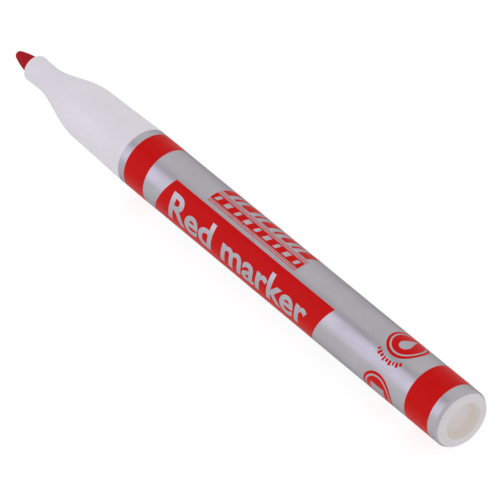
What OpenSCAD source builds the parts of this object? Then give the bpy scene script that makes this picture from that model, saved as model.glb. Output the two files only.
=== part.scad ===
// Slim whiteboard marker without its cap.
// It lies along X with the nib towards -X. The table top is Z = 0 and the
// origin is on it, under the middle of the marker's length.

/* [Barrel] */
// Outside diameter over the printed film
barrel_d = 10.8; // [9.6:0.1:13]
// Length from the front edge to the rear end face
barrel_len = 85.9; // [70:0.1:110]
// Thickness of the moulded wall
barrel_wall = 0.75; // [0.6:0.05:1]
// Radius of the rounded rear edge
barrel_edge_r = 0.6; // [0.4:0.1:1]
// Number of inner ribs that centre the ink reservoir
rib_count = 4; // [3:1:6]
// Thickness of one rib
rib_t = 0.8; // [0.5:0.1:1.2]
// Free length left between the ribs and each pushed-in spigot
rib_end_gap = 2; // [0.5:0.5:5]

/* [Label film] */
// Thickness of the printed film
film_t = 0.08; // [0.05:0.01:0.15]
// Angle that the film follows round the barrel's rear edge
film_wrap = 55; // [20:5:80]

/* [Front section] */
// Length in front of the barrel
section_len = 31.25; // [26:0.05:40]
// Diameter of the snout at its front edge
snout_d = 4.9; // [4.6:0.1:5.6]
// Diameter of the neck behind the snout
neck_d = 4.7; // [4.5:0.1:5.4]
// Length from the snout's end face to the neck
neck_pos = 3.75; // [2:0.05:6]
// Length of the flare from the neck to the shoulder
flare_len = 12.7; // [10:0.1:16]
// Taper of the grip behind the shoulder, in mm of radius per mm of length
grip_taper = 0.029; // [0.01:0.001:0.05]
// Radius of the snout's rounded front edge
snout_edge_r = 0.65; // [0.2:0.05:0.75]
// Length of the spigot inside the barrel
spigot_len = 12; // [8:0.5:16]
// Thickness of the spigot's wall
spigot_wall = 0.65; // [0.5:0.05:0.9]
// Distance from the barrel's front edge to the shoulder that stops the reservoir
seat_pos = 12; // [6:0.5:12.5]
// Length of the bore that holds the nib
nib_bore_len = 11; // [8:0.5:13]

/* [Nib] */
// Diameter of the fibre rod
nib_d = 3.3; // [2.6:0.1:3.4]
// Length that stands out of the snout
nib_out = 4.8; // [3:0.05:7]
// Length of the straight rod in front of the snout
nib_land = 0.2; // [0.1:0.05:0.6]
// Radius of the round writing tip
nib_tip_r = 0.82; // [0.5:0.01:1]
// Slope where the round tip runs into the ground side, in degrees
nib_tip_slope = 18.5; // [12:0.5:25]
// Length of the tail inside the reservoir
nib_tail = 6; // [3:0.5:10]
// Length of the pointed tail end
nib_tail_chamfer = 0.8; // [0.2:0.1:1]

/* [Reservoir] */
// Thickness of the film round the fibre bundle
wrap_t = 0.1; // [0.05:0.01:0.2]
// Free length between the reservoir and the end plug
reservoir_end_gap = 1; // [0.5:0.5:4]

/* [End plug] */
// Height of the domed flange behind the barrel
plug_flange_h = 0.53; // [0.4:0.01:1.2]
// Width of the rounding on the flange's outer edge
plug_edge_w = 0.65; // [0.3:0.05:0.8]
// Length of the plug's spigot inside the barrel
plug_spigot_len = 6; // [4:0.5:10]
// Diameter of the recess at its mouth
recess_d = 6.9; // [5.5:0.1:7]
// Diameter of the recess at its floor
recess_floor_d = 6.3; // [4:0.1:6.4]
// Depth of the recess
recess_depth = 1.7; // [1:0.1:3]
// Thickness of the plug's floor and spigot wall
plug_wall = 0.9; // [0.7:0.05:1.1]

/* [Fits] */
// Radial gap of the two spigots in the barrel
spigot_gap = 0.04; // [0.02:0.01:0.1]
// Radial gap of the nib in its bore and in the reservoir
nib_gap = 0.03; // [0.02:0.01:0.1]
// Radial gap round the reservoir
reservoir_gap = 0.1; // [0.05:0.01:0.3]

/* [Hidden] */
$fn = 96;

// Steps along each drawn curve
curve_steps = 12;

// Radii, from the outside inwards
film_r = barrel_d / 2;
shell_r = film_r - film_t;
barrel_bore_r = shell_r - barrel_wall;
spigot_r = barrel_bore_r - spigot_gap;
section_bore_r = spigot_r - spigot_wall;
wrap_r = section_bore_r - reservoir_gap;
core_r = wrap_r - wrap_t;
nib_r = nib_d / 2;
nib_bore_r = nib_r + nib_gap;
rib_tip_r = wrap_r + reservoir_gap;

// Stations along the axis, from the barrel's front edge towards the rear
snout_x = -section_len;
tip_x = snout_x - nib_out;
neck_x = snout_x + neck_pos;
shoulder_x = neck_x + flare_len;
seat_x = -seat_pos;
tail_x = seat_x + nib_tail;
plug_spigot_x = barrel_len - plug_spigot_len;
reservoir_rear_x = plug_spigot_x - reservoir_end_gap;
end_x = barrel_len + plug_flange_h;
rib_start_x = spigot_len + rib_end_gap;
rib_end_x = plug_spigot_x - rib_end_gap;
middle_x = (tip_x + end_x) / 2;

neck_r = neck_d / 2;
// The front section's rear edge is flush with the film
shoulder_r = film_r + shoulder_x * grip_taper;
// Lead-in chamfer of the two spigots
lead_in = 0.4;
// The barrel's ribs reach this far into its wall
rib_root = 0.2;
// Front end of the plug's flange, where the barrel's rounded edge leaves off
flange_r = shell_r - barrel_edge_r * (1 - cos(film_wrap));

// Puts a shape drawn round Z, from its stations, on the marker's own axis along X
module along_marker() {
    translate([-middle_x, 0, film_r])
        rotate([0, 90, 0])
            children();
}

// Turns an outline of [radius, station] points about the marker's axis
module turned(outline) {
    along_marker() rotate_extrude() polygon(outline);
}

// Points of a quarter or part arc about [r, x]. Angle 0 points outwards, 90 to the rear
function arc_points(r, x, rad_r, rad_x, from, to) =
    [for (i = [0 : curve_steps])
        let (a = from + (to - from) * i / curve_steps)
        [r + rad_r * cos(a), x + rad_x * sin(a)]];

// Smooth curve that leaves [r0, x0] along the axis and reaches [r1, x1] at the slope given
function flare_points(r0, x0, r1, x1, slope) =
    [for (i = [0 : curve_steps])
        let (t = i / curve_steps)
        [r0 + (r1 - r0) * t * t * (3 - 2 * t) + slope * (x1 - x0) * t * t * (t - 1),
            x0 + (x1 - x0) * t]];

// Rounded rear edge of a skin that lies the given height over the barrel's wall
function rear_edge(height, to) =
    arc_points(shell_r - barrel_edge_r, barrel_len - barrel_edge_r,
        barrel_edge_r + height, barrel_edge_r + height, 0, to);

module barrel() {
    color("whitesmoke") {
        turned(concat(
            [[barrel_bore_r, 0], [shell_r, 0]],
            rear_edge(0, film_wrap),
            [[flange_r, barrel_len], [barrel_bore_r, barrel_len]]));
        along_marker()
            for (i = [0 : rib_count - 1])
                rotate([0, 0, i * 360 / rib_count])
                    translate([rib_tip_r, -rib_t / 2, rib_start_x])
                        cube([barrel_bore_r + rib_root - rib_tip_r, rib_t, rib_end_x - rib_start_x]);
    }
}

module label_film() {
    color("silver")
        turned(concat(
            [[shell_r, 0], [film_r, 0]],
            rear_edge(film_t, film_wrap),
            [for (i = [curve_steps : -1 : 0]) rear_edge(0, film_wrap)[i]]));
}

module front_section() {
    snout_r = snout_d / 2;
    color("white")
        turned(concat(
            [[nib_bore_r, snout_x]],
            arc_points(snout_r - snout_edge_r, snout_x + snout_edge_r,
                snout_edge_r, snout_edge_r, -90, 0),
            flare_points(neck_r, neck_x, shoulder_r, shoulder_x, grip_taper),
            [[film_r, 0],
                [spigot_r, 0],
                [spigot_r, spigot_len - lead_in],
                [spigot_r - lead_in, spigot_len],
                [section_bore_r, spigot_len],
                [section_bore_r, seat_x],
                [nib_bore_r + (section_bore_r - nib_bore_r) / 2, seat_x],
                [nib_bore_r, snout_x + nib_bore_len]]));
}

module nib() {
    // The ground side starts at the round tip's slope and grows flatter towards the rod
    start_r = nib_tip_r * cos(nib_tip_slope);
    start_x = tip_x + nib_tip_r * (1 - sin(nib_tip_slope));
    side_len = snout_x - nib_land - start_x;
    rise = side_len * tan(nib_tip_slope);
    color("crimson")
        turned(concat(
            [[0, tip_x]],
            [for (i = [1 : curve_steps])
                let (a = -90 + (90 - nib_tip_slope) * i / curve_steps)
                [nib_tip_r * cos(a), tip_x + nib_tip_r + nib_tip_r * sin(a)]],
            [for (i = [1 : curve_steps])
                let (t = i / curve_steps)
                [start_r + rise * t - (start_r + rise - nib_r) * t * t, start_x + side_len * t]],
            [[nib_r, tail_x - nib_tail_chamfer],
                [nib_r - nib_tail_chamfer, tail_x],
                [0, tail_x]]));
}

module reservoir_core() {
    color("indianred")
        turned([
            [nib_bore_r, seat_x],
            [core_r, seat_x],
            [core_r, reservoir_rear_x],
            [0, reservoir_rear_x],
            [0, tail_x + nib_gap],
            [nib_bore_r, tail_x + nib_gap]]);
}

module reservoir_wrap() {
    color("gainsboro")
        turned([
            [core_r, seat_x],
            [wrap_r, seat_x],
            [wrap_r, reservoir_rear_x],
            [core_r, reservoir_rear_x]]);
}

module end_plug() {
    floor_x = end_x - recess_depth;
    color("snow")
        turned(concat(
            [[0, floor_x - plug_wall],
                [spigot_r - plug_wall, floor_x - plug_wall],
                [spigot_r - plug_wall, plug_spigot_x],
                [spigot_r - lead_in, plug_spigot_x],
                [spigot_r, plug_spigot_x + lead_in],
                [spigot_r, barrel_len]],
            arc_points(flange_r - plug_edge_w, barrel_len,
                plug_edge_w, plug_flange_h, 0, 90),
            [[recess_d / 2, end_x],
                [recess_floor_d / 2, floor_x],
                [0, floor_x]]));
}

barrel();
label_film();
front_section();
nib();
reservoir_core();
reservoir_wrap();
end_plug();
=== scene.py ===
"""Slim whiteboard marker without its cap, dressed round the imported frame.

The marker lies along X with its nib towards -X, and the floor is Z = 0. Stations are
distances in millimetres from the barrel's front edge towards the rear. Places round the
barrel are arcs in millimetres from the print layout's zero line.
"""
from __future__ import annotations

import logging
import math
from collections.abc import Callable, Iterable, Mapping, Sequence
from dataclasses import dataclass
from enum import Enum

import bmesh
import bpy
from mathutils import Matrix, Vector


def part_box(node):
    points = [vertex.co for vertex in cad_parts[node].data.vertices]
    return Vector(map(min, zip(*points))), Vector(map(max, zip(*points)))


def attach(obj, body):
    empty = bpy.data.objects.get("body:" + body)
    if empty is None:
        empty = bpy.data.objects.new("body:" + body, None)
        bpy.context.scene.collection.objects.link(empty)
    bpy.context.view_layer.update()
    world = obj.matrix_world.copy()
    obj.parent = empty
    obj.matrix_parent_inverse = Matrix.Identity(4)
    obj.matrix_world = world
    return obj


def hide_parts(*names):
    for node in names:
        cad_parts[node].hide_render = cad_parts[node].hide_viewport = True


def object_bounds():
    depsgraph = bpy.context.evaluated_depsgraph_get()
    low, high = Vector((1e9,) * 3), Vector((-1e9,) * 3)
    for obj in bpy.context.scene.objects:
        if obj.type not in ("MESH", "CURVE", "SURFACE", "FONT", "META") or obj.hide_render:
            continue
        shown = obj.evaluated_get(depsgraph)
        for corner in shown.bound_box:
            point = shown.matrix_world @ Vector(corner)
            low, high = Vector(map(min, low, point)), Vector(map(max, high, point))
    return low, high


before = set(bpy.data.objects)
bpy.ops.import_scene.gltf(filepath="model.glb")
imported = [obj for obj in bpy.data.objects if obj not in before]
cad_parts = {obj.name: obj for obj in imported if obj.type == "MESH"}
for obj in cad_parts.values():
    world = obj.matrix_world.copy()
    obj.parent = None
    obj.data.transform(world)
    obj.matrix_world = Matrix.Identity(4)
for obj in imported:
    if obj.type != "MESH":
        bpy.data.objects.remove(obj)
CAD_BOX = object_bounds()

LOG = logging.getLogger("marker")
MM = 0.001
SEGMENTS = 144
SHARP_ANGLE = math.radians(32)

Point = tuple[float, float]
Place = tuple[float, float, float]
Outline = list[Point]
Piece = bpy.types.Object
Material = bpy.types.Material
Tree = bpy.types.NodeTree
Node = bpy.types.Node
Socket = bpy.types.NodeSocket
Flat = bmesh.types.BMesh
Dressing = tuple[dict[str, object], dict[str, Socket]]


class Body(Enum):
    """The rigid bodies that pieces ride on."""

    BARREL = "barrel"
    SECTION = "front_section"
    NIB = "nib"
    PLUG = "end_plug"


class Slot(Enum):
    """The record's material slots."""

    BARREL = "barrel_plastic"
    LABEL = "label_print"
    SECTION = "section_plastic"
    NIB = "nib_fibre"
    RESERVOIR = "reservoir_fibre"
    WRAP = "reservoir_film"
    PLUG = "plug_plastic"


class Icon(Enum):
    """The pictograms in the print's roundels."""

    DROP = "drop"
    BOARD = "board"
    BARS = "bars"


# ---------------------------------------------------------------- node helpers


def linear(hex_colour: str) -> tuple[float, float, float, float]:
    """Turn an sRGB hex colour into linear RGBA.

    Args:
        hex_colour: six hex digits, such as "C3211F".

    Returns:
        The colour in linear light, with alpha 1.
    """
    parts = [int(hex_colour[i:i + 2], 16) / 255 for i in (0, 2, 4)]
    light = [c / 12.92 if c <= 0.04045 else ((c + 0.055) / 1.055) ** 2.4 for c in parts]
    return (light[0], light[1], light[2], 1.0)


def add_node(
    tree: Tree,
    kind: str,
    settings: Mapping[str | int, object] | None = None,
    links: Mapping[str | int, Socket] | None = None,
    **options: object,
) -> Node:
    """Add a node with its settings and links.

    Args:
        tree: the node tree to add to.
        kind: Blender's name for the node's type.
        settings: input name or number to the value that it keeps.
        links: input name or number to the output socket that feeds it.
        **options: the node's own options, such as operation.

    Returns:
        The new node.
    """
    node = tree.nodes.new(kind)
    for option, value in options.items():
        setattr(node, option, value)
    for socket, value in (settings or {}).items():
        node.inputs[socket].default_value = value
    for socket, source in (links or {}).items():
        tree.links.new(source, node.inputs[socket])
    return node


# ------------------------------------------------------------------- finishes


@dataclass(frozen=True)
class Finish:
    """A surface finish: what the material is and how its surface was made."""

    name: str
    colour: str
    roughness: float
    ior: float = 1.5
    metallic: float = 0.0

    def build(self) -> Material:
        """Make the material.

        Returns:
            A new material with its nodes in place.
        """
        material = bpy.data.materials.new(self.name)
        material.use_nodes = True
        material.diffuse_color = linear(self.colour)
        tree = material.node_tree
        tree.nodes.clear()
        own, links = self.dress(tree)
        shared = {
            "Base Color": linear(self.colour),
            "Roughness": self.roughness,
            "IOR": self.ior,
            "Metallic": self.metallic,
        }
        shader = add_node(tree, "ShaderNodeBsdfPrincipled", shared | own, links)
        add_node(tree, "ShaderNodeOutputMaterial", links={"Surface": shader.outputs["BSDF"]})
        return material

    def dress(self, tree: Tree) -> Dressing:
        """Add the finish's own pattern.

        Args:
            tree: the material's node tree.

        Returns:
            What the shader's own sockets are set to, and what is linked to them.
        """
        raise NotImplementedError

    def noise(
        self,
        tree: Tree,
        grain: Sequence[float],
        low: float,
        high: float,
        detail: float = 3.0,
    ) -> Socket:
        """Make a smooth random pattern between two values.

        Args:
            tree: the material's node tree.
            grain: the pattern's size along X, Y and Z, in millimetres.
            low: the value in the pattern's hollows.
            high: the value on its peaks.
            detail: how many finer layers it has.

        Returns:
            The pattern's value.
        """
        where = add_node(tree, "ShaderNodeTexCoord")
        scaled = add_node(
            tree,
            "ShaderNodeMapping",
            {"Scale": tuple(1 / (size * MM) for size in grain)},
            {"Vector": where.outputs["Object"]},
        )
        pattern = add_node(
            tree,
            "ShaderNodeTexNoise",
            {"Scale": 1.0, "Detail": detail, "Roughness": 0.55},
            {"Vector": scaled.outputs["Vector"]},
        )
        spread = add_node(
            tree,
            "ShaderNodeMapRange",
            {"From Min": 0.3, "From Max": 0.7, "To Min": low, "To Max": high},
            {"Value": pattern.outputs["Fac"]},
        )
        return spread.outputs["Result"]

    def blend(self, tree: Tree, amount: Socket, other: str, under: Socket | None = None) -> Socket:
        """Mix another colour over the finish's own, or over one that is already mixed.

        Args:
            tree: the material's node tree.
            amount: how much of the other colour shows.
            other: that colour, as sRGB hex.
            under: the colour below, or None for the finish's own.

        Returns:
            The mixed colour.
        """
        mixed = add_node(
            tree,
            "ShaderNodeMix",
            {6: linear(self.colour), 7: linear(other)},
            {0: amount} | ({6: under} if under else {}),
            data_type="RGBA",
        )
        return mixed.outputs[2]

    def relief(
        self,
        tree: Tree,
        height: Socket,
        depth: float,
        strength: float,
        under: Socket | None = None,
    ) -> Socket:
        """Raise the surface by a pattern.

        Args:
            tree: the material's node tree.
            height: the pattern, from 0 to 1.
            depth: its real height in millimetres.
            strength: how much of it shows.
            under: the normal of a coarser relief below it, if there is one.

        Returns:
            The normal to give to the shader.
        """
        raised = add_node(
            tree,
            "ShaderNodeBump",
            {"Strength": strength, "Distance": depth * MM},
            {"Height": height} | ({"Normal": under} if under else {}),
        )
        return raised.outputs["Normal"]


@dataclass(frozen=True)
class MouldedPolypropylene(Finish):
    """White polypropylene moulded against a finely blasted steel tool.

    It gives a satin white with soft broad highlights, a slight cloudiness from the pigment,
    and faint rings where the cap has rubbed on and off.
    """

    shade: str = "E0DAE2"
    rub: float = 0.1

    def dress(self, tree: Tree) -> Dressing:
        """Add the clouded pigment, the blasted grain and the cap's rub marks."""
        rough = self.roughness
        clouds = self.noise(tree, (9, 6, 6), 0.0, 0.35)
        clouded = self.blend(tree, clouds, self.shade)
        # The cap's lip leaves rings a few hundredths apart; they are drawn 0.6 mm apart to show
        rings = self.noise(tree, (0.6, 14, 14), 0.0, 1.0, 2)
        rubbed = add_node(tree, "ShaderNodeMath", {1: self.rub}, {0: rings}, operation="MULTIPLY")
        # Blasted grit of about 0.03 mm, drawn at 0.18 mm to show
        grit = self.noise(tree, (0.18, 0.18, 0.18), 0.0, 1.0, 2)
        grain = self.relief(tree, grit, 0.012, 0.25)
        return {
            "Subsurface Weight": 0.12,
            "Subsurface Radius": (1.0, 0.9, 0.85),
            "Subsurface Scale": 0.6 * MM,
            "Specular IOR Level": 0.4,
        }, {
            "Base Color": self.blend(tree, rubbed.outputs["Value"], self.shade, clouded),
            "Roughness": self.noise(tree, (2.5, 2.5, 2.5), rough - 0.06, rough + 0.08),
            "Normal": self.relief(tree, rings, 0.004, 0.06, grain),
        }


@dataclass(frozen=True)
class SilverFilm(Finish):
    """Polypropylene film printed with aluminium-flake ink and rolled round the barrel.

    It gives a soft grey metal with a broad lengthwise gleam, a fine sparkle from the flakes
    and duller smudges where it is held.
    """

    smudge: str = "B4B1B7"
    edge: str = "8C8A90"

    def dress(self, tree: Tree) -> Dressing:
        """Add the flakes, the smudges and the film's slight waviness."""
        rough = self.roughness
        dulled = self.blend(tree, self.noise(tree, (7, 3, 3), 0.0, 0.4), self.smudge)
        # Flakes of about 0.03 mm, drawn at 0.15 mm to show
        flakes = self.noise(tree, (0.15, 0.15, 0.15), 0.0, 1.0, 2)
        fine = add_node(tree, "ShaderNodeMath", {1: 0.22}, {0: flakes}, operation="MULTIPLY")
        waves = self.relief(tree, self.noise(tree, (22, 2.2, 2.2), 0.0, 1.0, 1), 0.02, 0.3)
        return {"Specular Tint": linear(self.edge)}, {
            "Base Color": self.blend(tree, fine.outputs["Value"], self.smudge, dulled),
            "Roughness": self.noise(tree, (5, 2.5, 2.5), rough - 0.05, rough + 0.08),
            "Normal": self.relief(tree, flakes, 0.01, 0.12, waves),
        }


@dataclass(frozen=True)
class PrintedInk(Finish):
    """Solid ink laid on the film by a gravure roller and sealed under a thin varnish.

    It gives a flat even colour with a soft gloss and the roller's faint mottle.
    """

    thin: str = "C20302"

    def dress(self, tree: Tree) -> Dressing:
        """Add the roller's mottle and the varnish's gloss."""
        rough = self.roughness
        mottle = self.noise(tree, (1.1, 0.6, 0.6), 0.0, 0.35)
        # Gravure cells of about 0.07 mm, drawn at 0.2 mm to show
        cells = self.noise(tree, (0.2, 0.2, 0.2), 0.0, 1.0, 1)
        return {"Specular IOR Level": 0.1}, {
            "Base Color": self.blend(tree, mottle, self.thin),
            "Roughness": self.noise(tree, (4, 2, 2), rough - 0.04, rough + 0.06),
            "Normal": self.relief(tree, cells, 0.006, 0.2),
        }


@dataclass(frozen=True)
class BondedFibre(Finish):
    """Polyester fibres bonded into a rod, ground to shape and wet with ink.

    It gives a deep colour with lengthwise streaks of paler fibre and almost no gloss.
    """

    pale: str = "C81C2A"
    strand: float = 0.12
    fleck: float = 0.4

    def dress(self, tree: Tree) -> Dressing:
        """Add the lengthwise fibres and the uneven ink."""
        rough = self.roughness
        # Fibres of about 0.02 mm, drawn several times as thick to show
        fibres = self.noise(tree, (2.2, self.strand, self.strand), 0.0, self.fleck)
        streaked = self.blend(tree, fibres, self.pale)
        soaked = self.noise(tree, (1.8, 1.2, 1.2), 0.0, 0.3)
        return {"Specular IOR Level": 0.12}, {
            "Base Color": self.blend(tree, soaked, self.colour, streaked),
            "Roughness": self.noise(tree, (0.6, 0.3, 0.3), rough - 0.1, rough + 0.1),
            "Normal": self.relief(tree, fibres, 0.04, 0.45),
        }


@dataclass(frozen=True)
class NaturalPolyethylene(Finish):
    """Unpigmented polyethylene moulded with a polished core and a satin face.

    It gives a milky, slightly see-through white. A warm tint is painted into the bottom of the recess,
    strongest near its wall: painted warm shade of the recess wall and of the light through the thin wall there.
    """

    # Painted warm shade for the recess floor and wall, not a colour of the plastic itself
    painted_recess_shade: str = "F4EAE0"
    cloud: str = "D8D2D4"
    end_x: float = 0.0
    axis_z: float = 0.0
    recess_r: float = 3.5
    recess_depth: float = 1.7

    def dress(self, tree: Tree) -> Dressing:
        """Add the milkiness, the painted warm shade in the recess and the satin face."""
        rough = self.roughness
        where = add_node(tree, "ShaderNodeTexCoord")
        centred = add_node(
            tree,
            "ShaderNodeVectorMath",
            {1: (-self.end_x, 0.0, -self.axis_z)},
            {0: where.outputs["Object"]},
            operation="ADD",
        )
        across = add_node(
            tree,
            "ShaderNodeVectorMath",
            {1: (0.0, 1.0, 1.0)},
            {0: centred.outputs["Vector"]},
            operation="MULTIPLY",
        )
        radius = add_node(
            tree,
            "ShaderNodeVectorMath",
            links={0: across.outputs["Vector"]},
            operation="LENGTH",
        )
        parts = add_node(tree, "ShaderNodeSeparateXYZ", links={0: centred.outputs["Vector"]})
        depth, reach = parts.outputs["X"], radius.outputs["Value"]
        # How deep a place lies, whether it is inside the recess, and how near its wall; together they set how
        # much painted warm shade the recess gets
        ramps = (
            (depth, -0.1, -0.6 * self.recess_depth, 0.0),
            (reach, self.recess_r + 0.1, self.recess_r - 0.05, 0.0),
            (reach, self.recess_r - 0.9, self.recess_r - 0.3, 0.3),
        )
        shares = [
            add_node(
                tree,
                "ShaderNodeMapRange",
                {"From Min": start * MM, "From Max": end * MM, "To Min": least},
                {"Value": source},
            ).outputs["Result"]
            for source, start, end, least in ramps
        ]
        # The painted warm shade grows deeper down in the recess and nearer its wall
        painted_shade_share = shares[0]
        for share in shares[1:]:
            both = add_node(tree, "ShaderNodeMath", links={0: painted_shade_share, 1: share}, operation="MULTIPLY")
            painted_shade_share = both.outputs["Value"]
        clouded = self.blend(tree, self.noise(tree, (2.5, 2.5, 2.5), 0.0, 0.3), self.cloud)
        # The satin face's grit of about 0.03 mm, drawn at 0.2 mm to show
        grit = self.noise(tree, (0.2, 0.2, 0.2), 0.0, 1.0, 2)
        return {
            "Subsurface Weight": 0.3,
            "Subsurface Radius": (1.0, 0.85, 0.7),
            "Subsurface Scale": 0.8 * MM,
        }, {
            # The recess gets the painted warm shade mixed over the milky white
            "Base Color": self.blend(tree, painted_shade_share, self.painted_recess_shade, clouded),
            "Roughness": self.noise(tree, (1.5, 1.5, 1.5), rough - 0.06, rough + 0.06),
            "Normal": self.relief(tree, grit, 0.012, 0.25),
        }


@dataclass(frozen=True)
class ClearFilm(Finish):
    """Clear polypropylene film rolled tight round the soaked bundle and welded.

    It takes on the bundle's colour and adds a crisp gloss and fine wrinkles along its length.
    It is drawn opaque because it touches the bundle everywhere.
    """

    crease: str = "E08C8E"

    def dress(self, tree: Tree) -> Dressing:
        """Add the film's gloss, the fibre's colour through it and its wrinkles."""
        wrinkles = self.noise(tree, (12, 0.8, 0.8), 0.0, 1.0, 2)
        return {"Coat Weight": 0.5, "Coat Roughness": 0.1}, {
            "Base Color": self.blend(tree, wrinkles, self.crease),
            "Normal": self.relief(tree, wrinkles, 0.05, 0.4),
        }


@dataclass(frozen=True)
class StudioPaper(Finish):
    """Matt studio paper or card, rolled from bleached or grey pulp.

    As background paper it is lit evenly and gives a pale ground with hardly any shadow. As
    an unlit card it gives the marker a soft dark line to reflect.
    """

    glow: float = 0.0
    tooth: str = "808080"

    def dress(self, tree: Tree) -> Dressing:
        """Add the paper's even lighting and its faint tooth."""
        tooth = self.noise(tree, (0.4, 0.4, 0.4), 0.0, 0.15)
        return {
            "Specular IOR Level": 0.0,
            "Emission Color": linear("FFFFFF"),
            "Emission Strength": self.glow,
        }, {"Base Color": self.blend(tree, tooth, self.tooth)}


# --------------------------------------------------------------- place and mesh


@dataclass(frozen=True)
class Datum:
    """Where the marker and its parts lie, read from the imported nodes' boxes.

    front_x and axis_z are in metres. The rest is in millimetres, and each name but film_r is
    a station.
    """

    front_x: float
    axis_z: float
    film_r: float
    tip: float
    mouth: float
    tail: float
    rear: float
    end: float

    @classmethod
    def from_frame(cls) -> Datum:
        """Read the nodes' boxes."""
        low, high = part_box("label_film")
        nib_low, nib_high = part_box("nib")
        ends = (nib_low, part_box("front_section")[0], nib_high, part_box("barrel")[1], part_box("end_plug")[1])
        stations = [(corner.x - low.x) / MM for corner in ends]
        return cls(low.x, (low.z + high.z) / 2, (high.z - low.z) / 2 / MM, *stations)

    def point(self, radius: float, station: float, angle: float) -> Vector:
        """Give a place on or in the marker.

        Args:
            radius: distance from the axis, in millimetres.
            station: distance behind the barrel's front edge, in millimetres.
            angle: turn about the axis in radians, from straight up towards -Y.

        Returns:
            The place in the shared frame, in metres.
        """
        return Vector(
            (
                self.front_x + station * MM,
                -radius * MM * math.sin(angle),
                self.axis_z + radius * MM * math.cos(angle),
            )
        )


def arc(centre: Point, radius: Point, start: float, end: float, steps: int = 12) -> Outline:
    """Give points along a round or oval corner.

    Args:
        centre: its centre as (radius, station).
        radius: its half axes across and along the marker.
        start: the first angle in degrees. 0 points outwards and 90 to the rear.
        end: the last angle in degrees.
        steps: how many stretches the arc is cut into.

    Returns:
        The points as (radius, station).
    """
    angles = [math.radians(start + (end - start) * i / steps) for i in range(steps + 1)]
    return [
        (centre[0] + radius[0] * math.cos(a), centre[1] + radius[1] * math.sin(a)) for a in angles
    ]


def turned_mesh(name: str, datum: Datum, outline: Outline | Callable[[float], Outline]) -> Piece:
    """Turn a closed outline about the marker's axis.

    Args:
        name: the new piece's name.
        datum: where the marker lies.
        outline: its (radius, station) points, or a function that gives them at an angle in
            radians, with the same number of points at every angle.

    Returns:
        The new piece, smooth where it is round and sharp at its edges.
    """
    built = bmesh.new()
    rings: list[list[bmesh.types.BMVert]] = []
    poles: dict[int, bmesh.types.BMVert] = {}
    for step in range(SEGMENTS):
        angle = 2 * math.pi * step / SEGMENTS
        ring = []
        for index, (radius, station) in enumerate(outline(angle) if callable(outline) else outline):
            if radius > 0:
                ring.append(built.verts.new(datum.point(radius, station, angle)))
                continue
            if index not in poles:
                poles[index] = built.verts.new(datum.point(0, station, 0))
            ring.append(poles[index])
        rings.append(ring)
    for step in range(SEGMENTS):
        here, there = rings[step], rings[(step + 1) % SEGMENTS]
        for index in range(len(here)):
            after = (index + 1) % len(here)
            corners = [here[index], here[after], there[after], there[index]]
            unique = list(dict.fromkeys(corners))
            if len(unique) > 2:
                built.faces.new(unique)
    bmesh.ops.recalc_face_normals(built, faces=built.faces)
    return piece_from(built, name)


def piece_from(built: Flat, name: str) -> Piece:
    """Store a finished bmesh as a piece.

    Args:
        built: the mesh. It is freed here.
        name: the new piece's name.

    Returns:
        The new piece, linked to the scene.
    """
    for face in built.faces:
        face.smooth = True
    for edge in built.edges:
        edge.smooth = edge.is_manifold and edge.calc_face_angle(0.0) < SHARP_ANGLE
    mesh = bpy.data.meshes.new(name)
    built.to_mesh(mesh)
    built.free()
    piece = bpy.data.objects.new(name, mesh)
    bpy.context.scene.collection.objects.link(piece)
    return piece


def settle(piece: Piece, material: Material, body: Body) -> None:
    """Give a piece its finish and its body.

    Args:
        piece: the piece.
        material: its finish.
        body: the body that it rides on.
    """
    piece.data.materials.clear()
    piece.data.materials.append(material)
    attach(piece, body.value)
    LOG.info("%s: %d faces, rides on %s", piece.name, len(piece.data.polygons), body.value)


# ---------------------------------------------------------------- sub-assemblies


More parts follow.
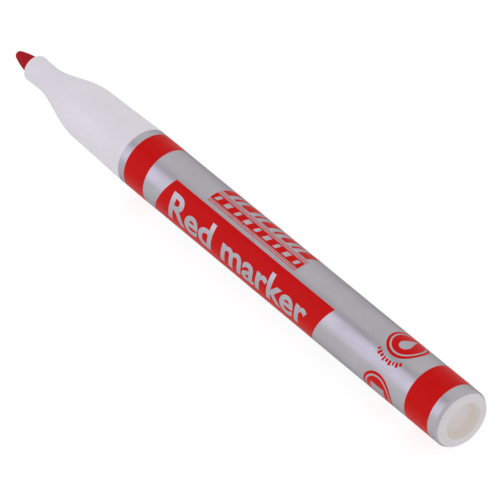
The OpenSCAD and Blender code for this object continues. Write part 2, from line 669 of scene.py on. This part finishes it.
@dataclass(frozen=True)
class Barrel:
    """The white moulded tube with its inner ribs. Sizes are in millimetres."""

    datum: Datum
    film: float = 0.08
    wall: float = 0.75
    edge_r: float = 0.6
    wrap_angle: float = 55.0
    rib_count: int = 4
    rib_width: float = 0.8
    rib_tip_r: float = 3.88
    rib_start: float = 14.0
    rib_end: float = 77.9
    rib_root: float = 0.2
    rib_slope: Point = (0.3, 1.2)
    ease: float = 0.08

    @property
    def outer_r(self) -> float:
        """Radius of the bare tube."""
        return self.datum.film_r - self.film

    def build(self, plastic: Material) -> list[Piece]:
        """Make the tube and its ribs.

        Args:
            plastic: the white polypropylene.

        Returns:
            The two pieces.
        """
        tube = turned_mesh("barrel_tube", self.datum, self.outline())
        ribs = self.ribs()
        for piece in (tube, ribs):
            settle(piece, plastic, Body.BARREL)
            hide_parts("barrel")
        return [tube, ribs]

    def outline(self) -> Outline:
        """Give the tube's section, with eased edges."""
        outer, bore, ease = self.outer_r, self.outer_r - self.wall, self.ease
        corner = (outer - self.edge_r, self.datum.rear - self.edge_r)
        rim = outer - self.edge_r * (1 - math.cos(math.radians(self.wrap_angle)))
        return [
            (bore, ease),
            (bore + ease, 0.0),
            (outer - ease, 0.0),
            (outer, ease),
            *arc(corner, (self.edge_r, self.edge_r), 0, self.wrap_angle),
            (rim, self.datum.rear),
            (bore, self.datum.rear),
        ]

    def ribs(self) -> Piece:
        """Make the ribs that centre the reservoir, each with a sloped front end."""
        root_r = self.outer_r - self.wall + self.rib_root
        drop, lead = self.rib_slope
        profile = [
            (root_r, self.rib_start),
            (self.rib_tip_r + drop, self.rib_start),
            (self.rib_tip_r, self.rib_start + lead),
            (self.rib_tip_r, self.rib_end),
            (root_r, self.rib_end),
        ]
        built = bmesh.new()
        for index in range(self.rib_count):
            turn = 2 * math.pi * index / self.rib_count + math.pi / 2
            sideways = Vector((0, -math.cos(turn), -math.sin(turn)))
            near, far = [
                [built.verts.new(self.datum.point(r, s, turn) + sideways * offset * MM) for r, s in profile]
                for offset in (-self.rib_width / 2, self.rib_width / 2)
            ]
            built.faces.new(near)
            built.faces.new(list(reversed(far)))
            for corner in range(len(profile)):
                after = (corner + 1) % len(profile)
                built.faces.new([near[after], near[corner], far[corner], far[after]])
        bmesh.ops.recalc_face_normals(built, faces=built.faces)
        return piece_from(built, "barrel_ribs")


@dataclass(frozen=True)
class FrontSection:
    """The white flared nose that holds the nib. Sizes are in millimetres."""

    datum: Datum
    barrel: Barrel
    snout_r: float = 2.45
    snout_edge: float = 0.65
    neck_r: float = 2.35
    neck_behind_snout: float = 3.75
    flare_length: float = 12.7
    grip_taper: float = 0.029
    bore_r: float = 1.68
    bore_length: float = 11.0
    spigot_length: float = 12.0
    spigot_wall: float = 0.65
    spigot_gap: float = 0.04
    seat: float = -12.0
    ease: float = 0.1
    lead: float = 0.4

    def build(self, plastic: Material) -> list[Piece]:
        """Make the section.

        Args:
            plastic: the white polypropylene.

        Returns:
            The one piece.
        """
        piece = turned_mesh("front_section_shell", self.datum, self.outline())
        settle(piece, plastic, Body.SECTION)
        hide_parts("front_section")
        return [piece]

    def flare(self, neck: float, shoulder: float, shoulder_r: float, steps: int = 40) -> Outline:
        """Give the smooth curve from the neck to the shoulder.

        Args:
            neck: the neck's station.
            shoulder: the shoulder's station.
            shoulder_r: the radius at the shoulder.
            steps: how many stretches the curve is cut into.

        Returns:
            The points as (radius, station).
        """
        points = []
        span = shoulder - neck
        for step in range(steps + 1):
            t = step / steps
            rise = (shoulder_r - self.neck_r) * t * t * (3 - 2 * t)
            lean = self.grip_taper * span * t * t * (t - 1)
            points.append((self.neck_r + rise + lean, neck + span * t))
        return points

    def outline(self) -> Outline:
        """Give the section's outline from the mouth, over the outside and back through the bore."""
        mouth = self.datum.mouth
        edge_r = self.datum.film_r
        neck = mouth + self.neck_behind_snout
        shoulder = neck + self.flare_length
        shoulder_r = edge_r + shoulder * self.grip_taper
        spigot_r = self.barrel.outer_r - self.barrel.wall - self.spigot_gap
        inner_r = spigot_r - self.spigot_wall
        ease, lead = self.ease, self.lead
        corner = (self.snout_r - self.snout_edge, mouth + self.snout_edge)
        return [
            (self.bore_r, mouth + ease),
            (self.bore_r + ease, mouth),
            *arc(corner, (self.snout_edge, self.snout_edge), -90, 0, 16),
            *self.flare(neck, shoulder, shoulder_r),
            (edge_r - self.grip_taper * ease, -ease),
            (edge_r - ease, 0.0),
            (spigot_r, 0.0),
            (spigot_r, self.spigot_length - lead),
            (spigot_r - lead, self.spigot_length),
            (inner_r, self.spigot_length),
            (inner_r, self.seat),
            (self.bore_r + (inner_r - self.bore_r) / 2, self.seat),
            (self.bore_r, mouth + self.bore_length),
        ]


@dataclass(frozen=True)
class Nib:
    """The red bullet nib. Sizes are in millimetres."""

    datum: Datum
    radius: float = 1.65
    tip_r: float = 0.82
    tip_slope: float = math.radians(18.5)
    land: float = 0.2
    tail_chamfer: float = 0.8
    side_steps: int = 24

    def build(self, fibre: Material) -> list[Piece]:
        """Make the nib.

        Args:
            fibre: the bonded fibre.

        Returns:
            The one piece.
        """
        piece = turned_mesh("nib_rod", self.datum, self.outline())
        settle(piece, fibre, Body.NIB)
        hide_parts("nib")
        return [piece]

    def outline(self) -> Outline:
        """Give the nib's outline: round tip, ground side, rod and pointed tail."""
        tip, mouth, tail = self.datum.tip, self.datum.mouth, self.datum.tail
        start_r = self.tip_r * math.cos(self.tip_slope)
        start = tip + self.tip_r * (1 - math.sin(self.tip_slope))
        length = mouth - self.land - start
        rise = length * math.tan(self.tip_slope)
        bend = start_r + rise - self.radius
        parts = [step / self.side_steps for step in range(1, self.side_steps + 1)]
        side = [(start_r + rise * t - bend * t * t, start + length * t) for t in parts]
        lean = -math.degrees(self.tip_slope)
        return [
            (0.0, tip),
            *arc((0.0, tip + self.tip_r), (self.tip_r, self.tip_r), -90, lean, 20)[1:],
            *side,
            (self.radius, tail - self.tail_chamfer),
            (self.radius - self.tail_chamfer, tail),
            (0.0, tail),
        ]


@dataclass(frozen=True)
class EndPlug:
    """The milky plug with its dished recess. Sizes are in millimetres."""

    datum: Datum
    barrel: Barrel
    spigot_length: float = 6.0
    spigot_gap: float = 0.04
    edge_width: float = 0.65
    recess_r: float = 3.45
    recess_floor_r: float = 3.15
    recess_depth: float = 1.7
    wall: float = 0.9
    lead: float = 0.4
    lip: float = 0.2
    fillet: float = 0.45

    def build(self, plastic: Material) -> list[Piece]:
        """Make the plug.

        Args:
            plastic: the natural polyethylene.

        Returns:
            The one piece.
        """
        piece = turned_mesh("end_plug_cap", self.datum, self.outline())
        settle(piece, plastic, Body.PLUG)
        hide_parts("end_plug")
        return [piece]

    def outline(self) -> Outline:
        """Give the plug's outline from the inside, over the flange and into the recess."""
        barrel, rear, end = self.barrel, self.datum.rear, self.datum.end
        spigot_r = barrel.outer_r - barrel.wall - self.spigot_gap
        flange_r = barrel.outer_r - barrel.edge_r * (1 - math.cos(math.radians(barrel.wrap_angle)))
        front = rear - self.spigot_length
        height = end - rear
        floor = end - self.recess_depth
        lead, lip, fillet = self.lead, self.lip, self.fillet
        return [
            (0.0, floor - self.wall),
            (spigot_r - self.wall, floor - self.wall),
            (spigot_r - self.wall, front),
            (spigot_r - lead, front),
            (spigot_r, front + lead),
            (spigot_r, rear),
            *arc((flange_r - self.edge_width, rear), (self.edge_width, height), 0, 90, 14),
            *arc((self.recess_r + lip, end - lip), (lip, lip), 90, 175, 6),
            *arc((self.recess_floor_r - fillet, floor + fillet), (fillet, fillet), 0, -90, 8),
            (0.0, floor),
        ]


# ------------------------------------------------------------------ printed film


@dataclass(frozen=True)
class PrintSheet:
    """The flat print layout, and how it lies round the barrel.

    Flat shapes are drawn in millimetres: first along the marker from the barrel's front
    edge, then round it from the layout's zero line, downwards on the -Y side.
    """

    datum: Datum
    zero_angle: float = math.radians(36.4)
    slice_width: float = 0.3

    def wrap(self, flat: Flat, name: str, sink: float, thickness: float) -> Piece:
        """Lay a flat shape round the barrel as a thin skin.

        Args:
            flat: the shape. It is freed here.
            name: the new piece's name.
            sink: how far the ink's surface lies under the film's radius, in millimetres.
            thickness: the ink's thickness in millimetres.

        Returns:
            The new piece.
        """
        film_r = self.datum.film_r
        rounds = [vertex.co.y for vertex in flat.verts]
        cut = math.ceil(min(rounds) / self.slice_width) * self.slice_width
        while cut < max(rounds):
            parts = [*flat.verts, *flat.edges, *flat.faces]
            bmesh.ops.bisect_plane(flat, geom=parts, plane_co=(0, cut, 0), plane_no=(0, 1, 0))
            cut += self.slice_width
        for vertex in flat.verts:
            angle = self.zero_angle + vertex.co.y / film_r
            vertex.co = self.datum.point(film_r - sink, vertex.co.x, angle)
        axis = Vector((0, 0, self.datum.axis_z))
        inward = []
        flat.normal_update()
        for face in flat.faces:
            out = face.calc_center_median() - axis
            out.x = 0
            if face.normal.dot(out) < 0:
                inward.append(face)
        bmesh.ops.reverse_faces(flat, faces=inward)
        piece = piece_from(flat, name)
        skin = piece.modifiers.new("ink thickness", "SOLIDIFY")
        skin.thickness = thickness * MM
        skin.offset = -1
        return piece


def polygons(shapes: Iterable[Sequence[Point]]) -> Flat:
    """Fill flat outlines.

    Args:
        shapes: closed outlines with no holes, as (along, round) points.

    Returns:
        A new bmesh with the filled shapes.
    """
    flat = bmesh.new()
    for shape in shapes:
        flat.faces.new([flat.verts.new((x, y, 0)) for x, y in shape])
    bmesh.ops.triangulate(flat, faces=flat.faces)
    return flat


def ellipse(centre: Point, radius: float, steps: int = 48) -> list[Point]:
    """Give a circle's points.

    Args:
        centre: its centre.
        radius: its radius.
        steps: how many points it has.

    Returns:
        The points in order.
    """
    turns = [2 * math.pi * i / steps for i in range(steps)]
    return [(centre[0] + radius * math.cos(t), centre[1] + radius * math.sin(t)) for t in turns]


def ring(centre: Point, inner: float, outer: float, steps: int = 64) -> Flat:
    """Fill the space between two circles.

    Args:
        centre: their centre.
        inner: the smaller radius.
        outer: the larger radius.
        steps: how many pieces the ring is cut into.

    Returns:
        A new bmesh with the ring.
    """
    flat = bmesh.new()
    loops = [
        [flat.verts.new((x, y, 0)) for x, y in ellipse(centre, radius, steps)]
        for radius in (inner, outer)
    ]
    for i in range(steps):
        after = (i + 1) % steps
        flat.faces.new([loops[0][i], loops[1][i], loops[1][after], loops[0][after]])
    return flat


@dataclass(frozen=True)
class LabelFilm:
    """The silver film and everything printed on it. Sizes are in millimetres."""

    datum: Datum
    barrel: Barrel
    sheet: PrintSheet
    film_sink: float = 0.02
    print_sink: float = 0.01
    ink: float = 0.008
    film_gap: float = 0.004
    edge_back: float = 6.0
    edge_waves: tuple[tuple[float, int, float], ...] = ((5, 2, 0.7), (3, 5, 2.1), (2, 11, 0.0))
    front_band: Point = (1.6, 6.96)
    rear_band: Point = (77.6, 83.6)
    panel_top: Point = (12.9, 55.8)
    panel_round: Point = (-0.71, 7.75)
    panel_slant: float = 0.382
    word: str = "Red marker"
    word_along: Point = (14.1, 51.3)
    word_baseline: float = 5.84
    word_height: float = 4.86
    word_weight: float = 0.022
    badge_along: Point = (20.4, 44.2)
    bars_round: Point = (-8.9, -4.75)
    bar_widths: tuple[float, ...] = (1.6, 0.7, 2.2, 0.6, 1.9, 0.7, 1.5, 0.6, 2.2)
    bar_gap: float = 1.1
    bar_slant: float = 0.25
    lines_round: tuple[float, ...] = (-4.42, -4.05, -1.93, -1.58)
    line_width: float = 0.15
    strip_round: Point = (-3.72, -2.05)
    mark_count: int = 9
    marks_round: Point = (-3.4, -2.36)
    mark_halves: Point = (0.42, 0.62)
    mark_lean: float = 0.2
    roundel_along: float = 70.5
    roundel_round: tuple[float, float, float] = (-4.67, 6.64, 17.95)
    roundel_r: float = 3.75
    roundel_inner_r: float = 2.87
    roundel_gap: float = 0.34
    tick_count: int = 9
    tick_fan: float = 68.0
    tick_start: float = 0.85
    tick_ends: Point = (1.5, 1.75)
    tick_halves: tuple[float, float, float] = (2.2, 2.9, 2.9)

    def build(self, silver: Material, red: Material) -> list[Piece]:
        """Make the film and its print.

        Args:
            silver: the flake ink that covers the film.
            red: the ink printed over it.

        Returns:
            The pieces.
        """
        film = turned_mesh("label_silver", self.datum, self.outline)
        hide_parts("label_film")
        inked = [
            *self.bands(),
            self.panel(),
            *self.badge(),
            *[part for index in range(3) for part in self.roundel(index)],
            self.ticks(),
        ]
        bare = [self.lettering(), self.badge_marks(), *[self.icon(i, kind) for i, kind in enumerate(Icon)]]
        for piece in (film, *bare):
            settle(piece, silver, Body.BARREL)
        for piece in inked:
            settle(piece, red, Body.BARREL)
        return [film, *inked, *bare]

    def outline(self, angle: float) -> Outline:
        """Give the film's section at an angle, with its rear edge cut a little unevenly.

        Each of edge_waves is a height in degrees, a number of waves round and a phase.
        """
        bare_r = self.barrel.outer_r
        skin = self.barrel.film - self.film_sink
        edge = self.barrel.edge_r
        gap = self.film_gap
        corner = (bare_r - edge, self.datum.rear - edge)
        uneven = sum(high * math.sin(count * angle + phase) for high, count, phase in self.edge_waves)
        reach = self.barrel.wrap_angle - self.edge_back + uneven
        outer = arc(corner, (edge + skin, edge + skin), 0, reach, 14)
        inner = arc(corner, (edge + gap, edge + gap), 0, reach, 14)
        return [(bare_r + gap, 0.0), (bare_r + skin, 0.0), *outer, *reversed(inner)]

    def bands(self) -> list[Piece]:
        """Make the two red bands that run right round the barrel."""
        outer = self.datum.film_r - self.print_sink
        made = []
        for name, (start, end) in (("front", self.front_band), ("rear", self.rear_band)):
            inner = outer - self.ink
            section = [(inner, start), (outer, start), (outer, end), (inner, end)]
            made.append(turned_mesh(f"label_{name}_band", self.datum, section))
        return made

    def panel(self) -> Piece:
        """Make the red panel with slanted ends."""
        (start, end), (top, bottom) = self.panel_top, self.panel_round
        shift = -(bottom - top) * self.panel_slant
        corners = [(start, top), (end, top), (end + shift, bottom), (start + shift, bottom)]
        return self.sheet.wrap(polygons([corners]), "label_panel", self.print_sink, self.ink)

    def lettering(self) -> Piece:
        """Make the panel's plain wording, left silver."""
        curve = bpy.data.curves.new("wording", "FONT")
        curve.body = self.word
        curve.offset = self.word_weight
        curve.resolution_u = 6
        text = bpy.data.objects.new("wording", curve)
        bpy.context.scene.collection.objects.link(text)
        shape = bpy.data.meshes.new_from_object(
            text.evaluated_get(bpy.context.evaluated_depsgraph_get())
        )
        flat = bmesh.new()
        flat.from_mesh(shape)
        bpy.data.objects.remove(text)
        bpy.data.curves.remove(curve)
        bpy.data.meshes.remove(shape)
        bmesh.ops.remove_doubles(flat, verts=flat.verts, dist=1e-5)
        left = min(v.co.x for v in flat.verts)
        wide = max(v.co.x for v in flat.verts) - left
        tall = max(v.co.y for v in flat.verts)
        start, end = self.word_along
        for vertex in flat.verts:
            x, y = vertex.co.x, vertex.co.y
            vertex.co = (
                start + (x - left) * (end - start) / wide,
                self.word_baseline - y * self.word_height / tall,
                0,
            )
        return self.sheet.wrap(flat, "label_wording", 0.0, self.ink)

    def bars(self) -> list[list[Point]]:
        """Give the corners of the badge's slanted bars, which fill its length."""
        (start, end), (top, bottom) = self.badge_along, self.bars_round
        widths = self.bar_widths
        lean = (bottom - top) * self.bar_slant
        unit = (end - start - lean) / (sum(widths) + self.bar_gap * (len(widths) - 1))
        shapes = []
        at = start
        for width in widths:
            after = at + width * unit
            shapes.append([(at + lean, top), (after + lean, top), (after, bottom), (at, bottom)])
            at = after + self.bar_gap * unit
        return shapes

    def badge(self) -> list[Piece]:
        """Make the plain badge over the panel: slanted bars, fine lines and a solid strip."""
        start, end = self.badge_along
        edges = [(y, y + self.line_width) for y in self.lines_round]
        boxes = {"lines": edges, "strip": [self.strip_round]}
        shapes = {"bars": self.bars()} | {
            name: [[(start, a), (end, a), (end, b), (start, b)] for a, b in rows]
            for name, rows in boxes.items()
        }
        return [
            self.sheet.wrap(polygons(shape), f"label_badge_{name}", self.print_sink, self.ink)
            for name, shape in shapes.items()
        ]

    def badge_marks(self) -> Piece:
        """Make the row of small silver marks along the badge's strip."""
        (start, end), (top, bottom) = self.badge_along, self.marks_round
        pitch = (end - start) / self.mark_count
        lean = self.mark_lean
        marks = []
        for index in range(self.mark_count):
            x = start + pitch * (index + 0.5)
            half = self.mark_halves[index % 2]
            upper = [(x - half + lean, top), (x + half + lean, top)]
            lower = [(x + half - lean, bottom), (x - half - lean, bottom)]
            marks.append(upper + lower)
        return self.sheet.wrap(polygons(marks), "label_badge_marks", 0.0, self.ink)

    def roundel(self, index: int) -> list[Piece]:
        """Make one roundel's ring and disc.

        Args:
            index: which roundel, counted round the barrel.

        Returns:
            Its two pieces.
        """
        centre = (self.roundel_along, self.roundel_round[index])
        outer = ring(centre, self.roundel_inner_r + self.roundel_gap, self.roundel_r)
        disc = polygons([ellipse(centre, self.roundel_inner_r)])
        return [
            self.sheet.wrap(outer, f"label_roundel_{index + 1}_ring", self.print_sink, self.ink),
            self.sheet.wrap(disc, f"label_roundel_{index + 1}_disc", self.print_sink, self.ink),
        ]

    def icon(self, index: int, kind: Icon) -> Piece:
        """Make the silver pictogram in a roundel.

        Args:
            index: which roundel, counted round the barrel.
            kind: the pictogram.

        Returns:
            The piece.
        """
        turns = [math.radians(-25 + 230 * step / 24) for step in range(25)]
        drop = [(0.0, -2.0), *[(1.15 * math.cos(t), 0.65 + 1.15 * math.sin(t)) for t in turns]]
        shapes: dict[Icon, list[list[Point]]] = {
            Icon.BARS: [
                [(-1.4, 1.4), (-1.4, 0.5), (1.4, 0.5), (1.4, 1.4)],
                [(-1.4, -0.3), (-1.4, -1.2), (1.4, -1.2), (1.4, -0.3)],
            ],
            Icon.DROP: [drop],
            Icon.BOARD: [
                [(-1.7, -1.3), (1.7, -1.3), (1.7, 0.7), (-1.7, 0.7)],
                [(-1.2, 1.1), (1.2, 1.1), (1.2, 1.5), (-1.2, 1.5)],
            ],
        }
        across, round_ = self.roundel_along, self.roundel_round[index]
        placed = [[(across + x, round_ + y) for x, y in shape] for shape in shapes[kind]]
        return self.sheet.wrap(polygons(placed), f"label_icon_{kind.value}", 0.0, self.ink)

    def ticks(self) -> Piece:
        """Make the curved row of small ticks under the first roundel."""
        centre = (self.roundel_along, self.roundel_round[0])
        marks = []
        for index in range(self.tick_count):
            turn = 90 + self.tick_fan / 2 - self.tick_fan * index / (self.tick_count - 1)
            middle, half = math.radians(turn), math.radians(self.tick_halves[index % 3])
            near = self.roundel_r + self.tick_start
            far = self.roundel_r + self.tick_ends[index % 2]
            sides = (middle - half, middle + half)
            corners = ((near, sides[0]), (far, sides[0]), (far, sides[1]), (near, sides[1]))
            marks.append([(centre[0] + r * math.cos(a), centre[1] + r * math.sin(a)) for r, a in corners])
        return self.sheet.wrap(polygons(marks), "label_ticks", self.print_sink, self.ink)


@dataclass(frozen=True)
class Reservoir:
    """The ink reservoir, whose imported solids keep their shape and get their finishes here."""

    def build(self, fibre: Material, film: Material) -> list[Piece]:
        """Dress the fibre core and its film.

        Args:
            fibre: the soaked fibre bundle.
            film: the clear film.

        Returns:
            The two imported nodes.
        """
        dressed = []
        for node, material in (("reservoir_core", fibre), ("reservoir_wrap", film)):
            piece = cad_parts[node]
            piece.data.materials.clear()
            piece.data.materials.append(material)
            LOG.info("%s: packed node, dressed", node)
            dressed.append(piece)
        return dressed


# ------------------------------------------------------------------------ studio


@dataclass(frozen=True)
class Studio:
    """The floor, the lights and the camera. Lengths are in metres, angles in degrees.

    A place is an azimuth, an elevation and a distance from the marker. The azimuth is 0
    towards -Y and 90 towards +X, and the elevation is counted up from the horizon.
    """

    datum: Datum
    camera_at: Place = (52.33, 39.64, 1.2536)
    lens: float = 540.0
    aim: Place = (0.00501, -0.00049, -0.00036)
    floor_size: float = 6.0
    card_at: Place = (-60.0, 44.5, 0.75)
    card_size: Point = (0.17, 0.8)
    softbox_at: Place = (-42.0, 24.5, 0.7)
    softbox_size: Point = (0.36, 0.6)
    softbox_power: float = 0.52
    softbox_colour: str = "DED7FF"
    surround_colour: str = "FAFAFA"
    surround: float = 0.75

    def build(self, paper: Material, card: Material) -> None:
        """Make the floor, the card, the lights and the camera.

        Args:
            paper: the floor's finish.
            card: the dark card's finish.
        """
        self.floor(paper)
        self.card(card)
        self.softbox()
        self.surroundings()
        self.camera()

    def stand(self, thing: Piece, place: Place, aim: Sequence[float] = (0, 0, 0)) -> None:
        """Stand a thing at a place, facing the marker, and link it.

        Args:
            thing: the thing, which looks along its own -Z.
            place: where it stands.
            aim: what it faces, from the middle of the marker's axis.
        """
        low, high = CAD_BOX
        middle = Vector(((low.x + high.x) / 2, 0.0, self.datum.axis_z))
        a, e = math.radians(place[0]), math.radians(place[1])
        away = Vector((math.sin(a) * math.cos(e), -math.cos(a) * math.cos(e), math.sin(e)))
        thing.location = middle + Vector(aim) + away * place[2]
        thing.rotation_mode = "QUATERNION"
        thing.rotation_quaternion = away.to_track_quat("Z", "Y")
        bpy.context.scene.collection.objects.link(thing)

    def sheet(self, name: str, size: Point, finish: Material) -> Piece:
        """Make a flat rectangle about its own origin.

        Args:
            name: its name.
            size: its width and height.
            finish: its finish.

        Returns:
            The new object, not linked yet.
        """
        x, y = size[0] / 2, size[1] / 2
        mesh = bpy.data.meshes.new(name)
        mesh.from_pydata([(-x, -y, 0), (x, -y, 0), (x, y, 0), (-x, y, 0)], [], [(0, 1, 2, 3)])
        mesh.materials.append(finish)
        return bpy.data.objects.new(name, mesh)

    def floor(self, paper: Material) -> None:
        """Make the pale floor."""
        floor = self.sheet("floor", (self.floor_size, self.floor_size), paper)
        floor.visible_diffuse = False
        floor.visible_glossy = False
        bpy.context.scene.collection.objects.link(floor)

    def card(self, finish: Material) -> None:
        """Stand a dark card beside the softbox, seen only in the marker's reflections."""
        card = self.sheet("dark_card", self.card_size, finish)
        card.visible_camera = False
        card.visible_diffuse = False
        card.visible_shadow = False
        self.stand(card, self.card_at)

    def softbox(self) -> None:
        """Add the soft rectangular key light."""
        light = bpy.data.lights.new("key_softbox", "AREA")
        light.shape = "RECTANGLE"
        light.size, light.size_y = self.softbox_size
        light.energy = self.softbox_power
        light.color = linear(self.softbox_colour)[:3]
        lamp = bpy.data.objects.new("key_softbox", light)
        lamp.visible_camera = False
        self.stand(lamp, self.softbox_at)

    def surroundings(self) -> None:
        """Add the even light from all round, and plain colour handling."""
        world = bpy.data.worlds.new("studio")
        world.use_nodes = True
        light = world.node_tree.nodes["Background"]
        light.inputs["Color"].default_value = linear(self.surround_colour)
        light.inputs["Strength"].default_value = self.surround
        bpy.context.scene.world = world
        bpy.context.scene.view_settings.view_transform = "Standard"

    def camera(self) -> None:
        """Add the camera."""
        lens = bpy.data.cameras.new("camera")
        lens.sensor_width = 36.0
        lens.lens = self.lens
        lens.clip_start, lens.clip_end = 0.05, 20.0
        camera = bpy.data.objects.new("camera", lens)
        self.stand(camera, self.camera_at, self.aim)
        bpy.context.scene.camera = camera


# ------------------------------------------------------------------------- main


def main() -> None:
    """Build the sub-assemblies in order, then the studio."""
    logging.basicConfig(level=logging.INFO, format="%(message)s")
    datum = Datum.from_frame()
    white = MouldedPolypropylene("moulded polypropylene", "F6F1F8", 0.4)
    tube = MouldedPolypropylene("moulded polypropylene tube", "E4E0E6", 0.42)
    silver = SilverFilm("silver flake film", "CCC8CE", 0.29, metallic=0.6)
    red = PrintedInk("red gravure ink", "DB0404", 0.4)
    fibre = BondedFibre("ink-wet bonded fibre", "AE0A18", 0.7)
    soaked = BondedFibre("soaked fibre bundle", "B4141E", 0.8, pale="D8545A", strand=0.2, fleck=0.7)
    clear = ClearFilm("clear polypropylene film", "C2464C", 0.2)
    barrel = Barrel(datum)
    milky = NaturalPolyethylene(
        "natural polyethylene",
        "EFEAED",
        0.42,
        end_x=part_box("end_plug")[1].x,
        axis_z=datum.axis_z,
    )
    pieces = [
        *barrel.build(tube.build()),
        *LabelFilm(datum, barrel, PrintSheet(datum)).build(silver.build(), red.build()),
        *FrontSection(datum, barrel).build(white.build()),
        *Nib(datum).build(fibre.build()),
        *Reservoir().build(soaked.build(), clear.build()),
        *EndPlug(datum, barrel).build(milky.build()),
    ]
    LOG.info("%d pieces", len(pieces))
    paper = StudioPaper("white background paper", "8C8C8C", 0.9, glow=0.84)
    card = StudioPaper("grey card", "989898", 0.9)
    Studio(datum).build(paper.build(), card.build())


if __name__ == "__main__":
    main()
